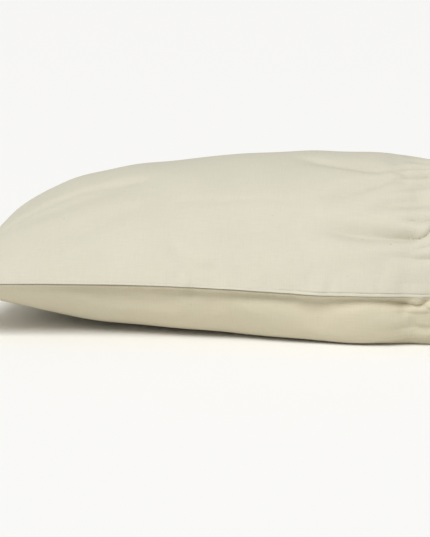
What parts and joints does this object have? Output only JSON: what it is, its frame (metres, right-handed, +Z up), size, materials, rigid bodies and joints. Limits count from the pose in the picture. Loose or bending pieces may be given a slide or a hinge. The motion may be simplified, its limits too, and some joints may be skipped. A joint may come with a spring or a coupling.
{
  "type": "drawstring bag",
  "caption": "Filled-looking cotton drawstring bag lying on its side, closed end flat, gathered mouth open, cord out at one side seam.",
  "frame": {"origin": "middle of the bag's length and width, on the surface that it lies on", "axes": "+X from the closed end to the mouth, -Y towards the side seam where the cord comes out, +Z up"},
  "size_m": [0.492, 0.2862, 0.1482],
  "materials": {
    "unbleached_cotton": "plain weave, matt",
    "cotton_cord": "twisted cord, matt"
  },
  "bodies": {
    "root": {"panel_upper": "unbleached_cotton", "panel_lower": "unbleached_cotton", "drawstring_loop": "cotton_cord", "cord_end_upper": "cotton_cord", "cord_end_lower": "cotton_cord", "knot_upper": "cotton_cord", "knot_lower": "cotton_cord"}
  },
  "joints": []
}
